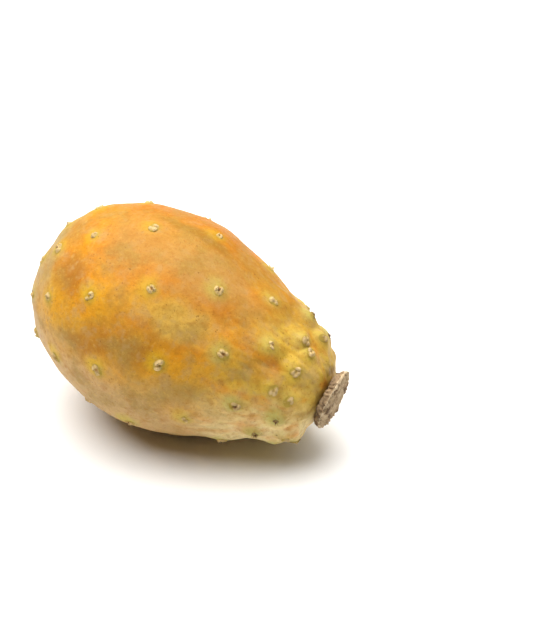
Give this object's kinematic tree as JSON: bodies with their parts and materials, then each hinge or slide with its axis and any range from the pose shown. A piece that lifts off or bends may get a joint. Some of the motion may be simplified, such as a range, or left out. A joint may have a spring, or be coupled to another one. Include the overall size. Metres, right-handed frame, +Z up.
{
  "type": "prickly pear",
  "caption": "Ripe orange cactus fruit lying on its side, with felted areoles on low swellings, a hollow flower end and a dry corky scab where the stem was.",
  "frame": {"origin": "on the surface the fruit lies on, under the middle of the whole object", "axes": "+X along the fruit's length, from the blunt flower end to the narrow stem end, +Z up"},
  "size_m": [0.0826, 0.0552, 0.0555],
  "materials": {
    "skin": "satin",
    "areole": "matte",
    "scab": "matte"
  },
  "bodies": {
    "root": {"fruit": "skin", "stem_scab": "scab"}
  },
  "joints": []
}
